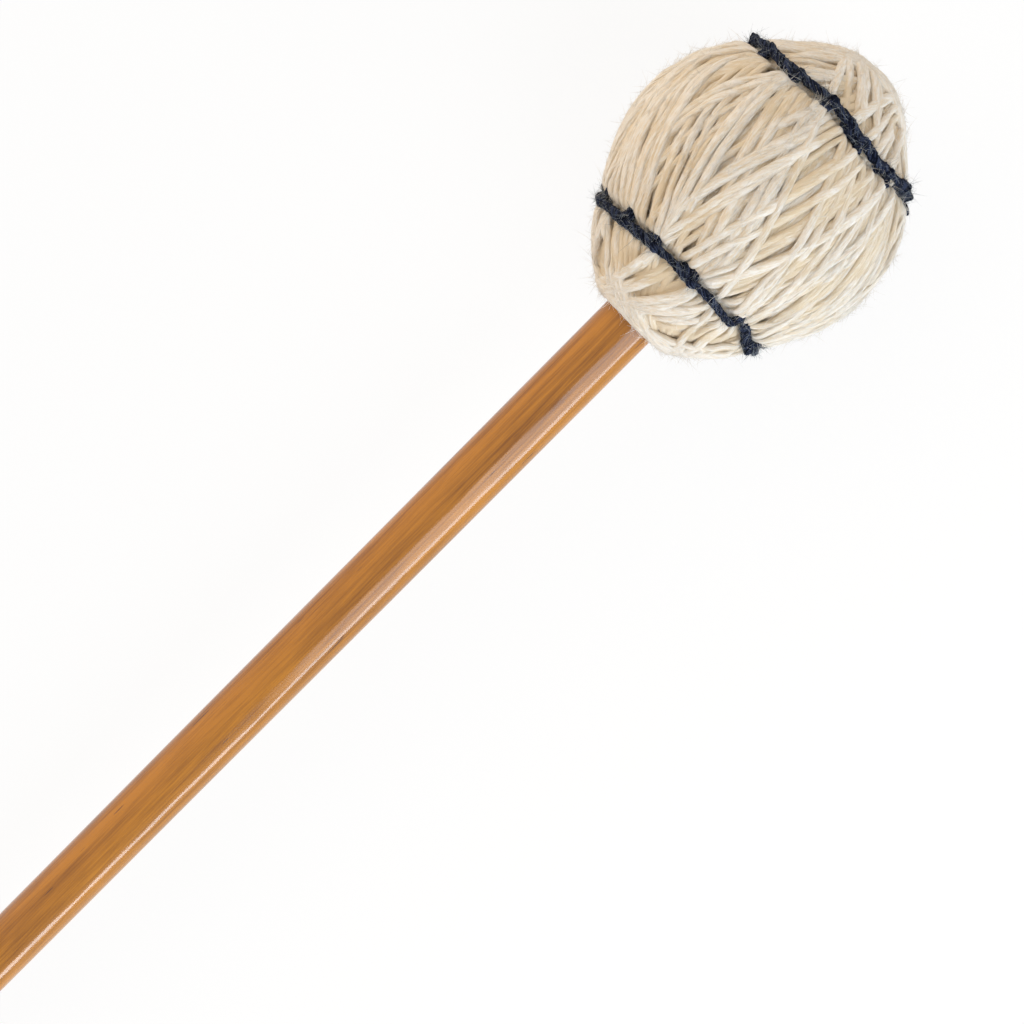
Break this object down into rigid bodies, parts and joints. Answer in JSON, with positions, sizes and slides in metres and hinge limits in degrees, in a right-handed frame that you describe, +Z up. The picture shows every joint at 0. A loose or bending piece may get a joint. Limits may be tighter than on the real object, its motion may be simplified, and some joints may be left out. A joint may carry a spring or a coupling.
{
  "type": "marimba mallet",
  "caption": "Yarn marimba mallet: a straight rattan shaft glued into a rubber core under a wound wool head, cinched by stitched rings at its collar and its crown.",
  "frame": {"origin": "on the floor, under the middle of the mallet as it lies on its head and on the rim of its butt", "axes": "+X along the mallet from its butt to its head, +Z up; the shaft rises towards the head by 2.57 degrees"},
  "size_m": [0.424, 0.0456, 0.0451],
  "materials": {
    "rattan": "gloss",
    "core_rubber": "matte",
    "glue": "satin",
    "buried_yarn": "matte",
    "cream_yarn": "matte",
    "navy_thread": "matte"
  },
  "bodies": {
    "root": {"shaft": "rattan", "core": "core_rubber", "glue_sleeve": "glue", "yarn_underwrap": "buried_yarn", "yarn_winding": "cream_yarn", "collar_stitching": "navy_thread", "crown_stitching": "navy_thread"}
  },
  "joints": []
}
